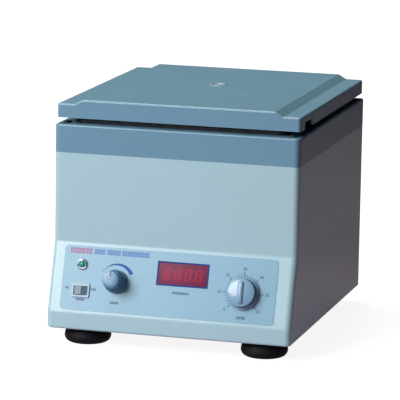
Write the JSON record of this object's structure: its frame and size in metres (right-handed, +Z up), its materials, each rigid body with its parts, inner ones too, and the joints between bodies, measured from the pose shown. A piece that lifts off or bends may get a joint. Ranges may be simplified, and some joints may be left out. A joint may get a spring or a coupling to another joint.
{
  "type": "laboratory centrifuge",
  "caption": "Bench-top laboratory centrifuge: steel housing with sloped control panel, hinged moulded lid, fixed-angle rotor in a round chamber, rubber suction feet.",
  "frame": {"origin": "centre of the bounding box at bench level, under the rubber feet", "axes": "+Z up, -Y is the front with the control panel, +X is the operator's right"},
  "size_m": [0.3, 0.3792, 0.2929],
  "materials": {
    "housing_paint": "glossy pale blue-grey enamel",
    "moulding_blue": "glossy mid blue-grey moulding",
    "base_zinc": "zinc-plated sheet",
    "screw_steel": "plated screws",
    "black_rubber": "matte black rubber",
    "stainless": "spun stainless steel",
    "guard_steel": "grey primer",
    "motor_paint": "black motor enamel",
    "cast_alloy": "die-cast",
    "bearing_steel": "ground steel",
    "lamination": "varnished laminations and windings",
    "black_plastic": "fine-grain black moulding",
    "overlay_film": "printed pale blue film",
    "red_filter": "translucent red filter",
    "chrome_trim": "bright trim",
    "green_lens": "green lens",
    "switch_white": "off-white",
    "circuit_board": "solder resist",
    "brass_fitting": "bare brass",
    "black_alloy": "black anodised",
    "clear_window": "clear polycarbonate",
    "rotor_alloy": "turned and anodised",
    "knob_grey": "grey-blue knob"
  },
  "bodies": {
    "chassis": {"housing_shell": "housing_paint", "rear_panel": "housing_paint", "base_plate": "base_zinc", "rear_screws": "screw_steel", "base_screws": "screw_steel", "collar_screws": "screw_steel", "foot_screws": "screw_steel", "motor_bolts": "screw_steel", "knob_nuts": "screw_steel", "top_collar": "moulding_blue", "chassis_posts": "base_zinc", "rubber_feet": "black_rubber", "chamber_bowl": "stainless", "chamber_gasket": "black_rubber", "guard_barrel": "guard_steel", "shaft_boot": "black_rubber", "motor_can": "motor_paint", "motor_lower_cap": "cast_alloy", "motor_upper_cap": "cast_alloy", "lower_bearing": "bearing_steel", "upper_bearing": "bearing_steel", "motor_stator": "lamination", "motor_mount_plate": "base_zinc", "damper_mounts": "black_rubber", "speed_sensor": "black_plastic", "control_overlay": "overlay_film", "display_window": "red_filter", "display_module": "black_plastic", "lamp_bezel": "chrome_trim", "lamp_lens": "green_lens", "power_switch": "switch_white", "speed_potentiometer": "base_zinc", "timer_movement": "base_zinc", "main_board": "circuit_board", "board_standoffs": "brass_fitting", "heat_sink": "black_alloy", "transformer": "lamination", "inlet_socket": "black_plastic", "inlet_pins": "brass_fitting", "fuse_holder": "black_plastic", "hinge_lugs": "stainless", "latch_solenoid": "lamination"},
    "lid": {"lid_shell": "moulding_blue", "lid_liner": "black_plastic", "lid_seal": "black_rubber", "sight_window": "clear_window", "sight_ring": "chrome_trim", "hinge_brackets": "stainless", "hinge_pins": "bearing_steel", "lid_striker": "stainless"},
    "rotor_assembly": {"drive_shaft": "bearing_steel", "motor_armature": "lamination", "cooling_fan": "black_plastic", "angle_rotor": "rotor_alloy"},
    "rotor_nut": {"rotor_nut": "rotor_alloy"},
    "speed_knob": {"speed_knob": "knob_grey"},
    "timer_knob": {"timer_knob": "knob_grey"},
    "power_rocker": {"power_rocker": "switch_white"},
    "latch_bolt": {"latch_bolt": "bearing_steel"},
    "fuse_cap": {"fuse_cap": "black_plastic"}
  },
  "joints": [
    {"name": "lid_hinge", "type": "hinge", "parent": "chassis", "child": "lid", "pos_m": [0, 0.1695, 0.2735], "axis": [-1, 0, 0], "range_deg": [0, 100]},
    {"name": "rotor_spin", "type": "hinge", "parent": "chassis", "child": "rotor_assembly", "pos_m": [0, 0.03, 0.2], "axis": [0, 0, 1], "continuous": true},
    {"name": "rotor_nut_turn", "type": "hinge", "parent": "rotor_assembly", "child": "rotor_nut", "pos_m": [0, 0.03, 0.22], "axis": [0, 0, 1], "range_deg": [0, 720]},
    {"name": "speed_knob_turn", "type": "hinge", "parent": "chassis", "child": "speed_knob", "pos_m": [-0.067, -0.16345, 0.08008], "axis": [0, 0.9532, -0.3022], "range_deg": [0, 300]},
    {"name": "timer_knob_turn", "type": "hinge", "parent": "chassis", "child": "timer_knob", "pos_m": [0.089, -0.16412, 0.07798], "axis": [0, 0.9532, -0.3022], "range_deg": [0, 270], "stiffness_Nm_per_rad": 0.01},
    {"name": "power_rocker_tilt", "type": "hinge", "parent": "chassis", "child": "power_rocker", "pos_m": [-0.1095, -0.16705, 0.06706], "axis": [0, -0.3022, -0.9532], "range_deg": [0, 24]},
    {"name": "latch_bolt_slide", "type": "slide", "parent": "chassis", "child": "latch_bolt", "axis": [-1, 0, 0], "range_m": [0, 0.008], "stiffness_N_per_m": 100},
    {"name": "fuse_cap_turn", "type": "hinge", "parent": "chassis", "child": "fuse_cap", "pos_m": [-0.012, 0.181, 0.058], "axis": [0, -1, 0], "range_deg": [0, 45]}
  ]
}
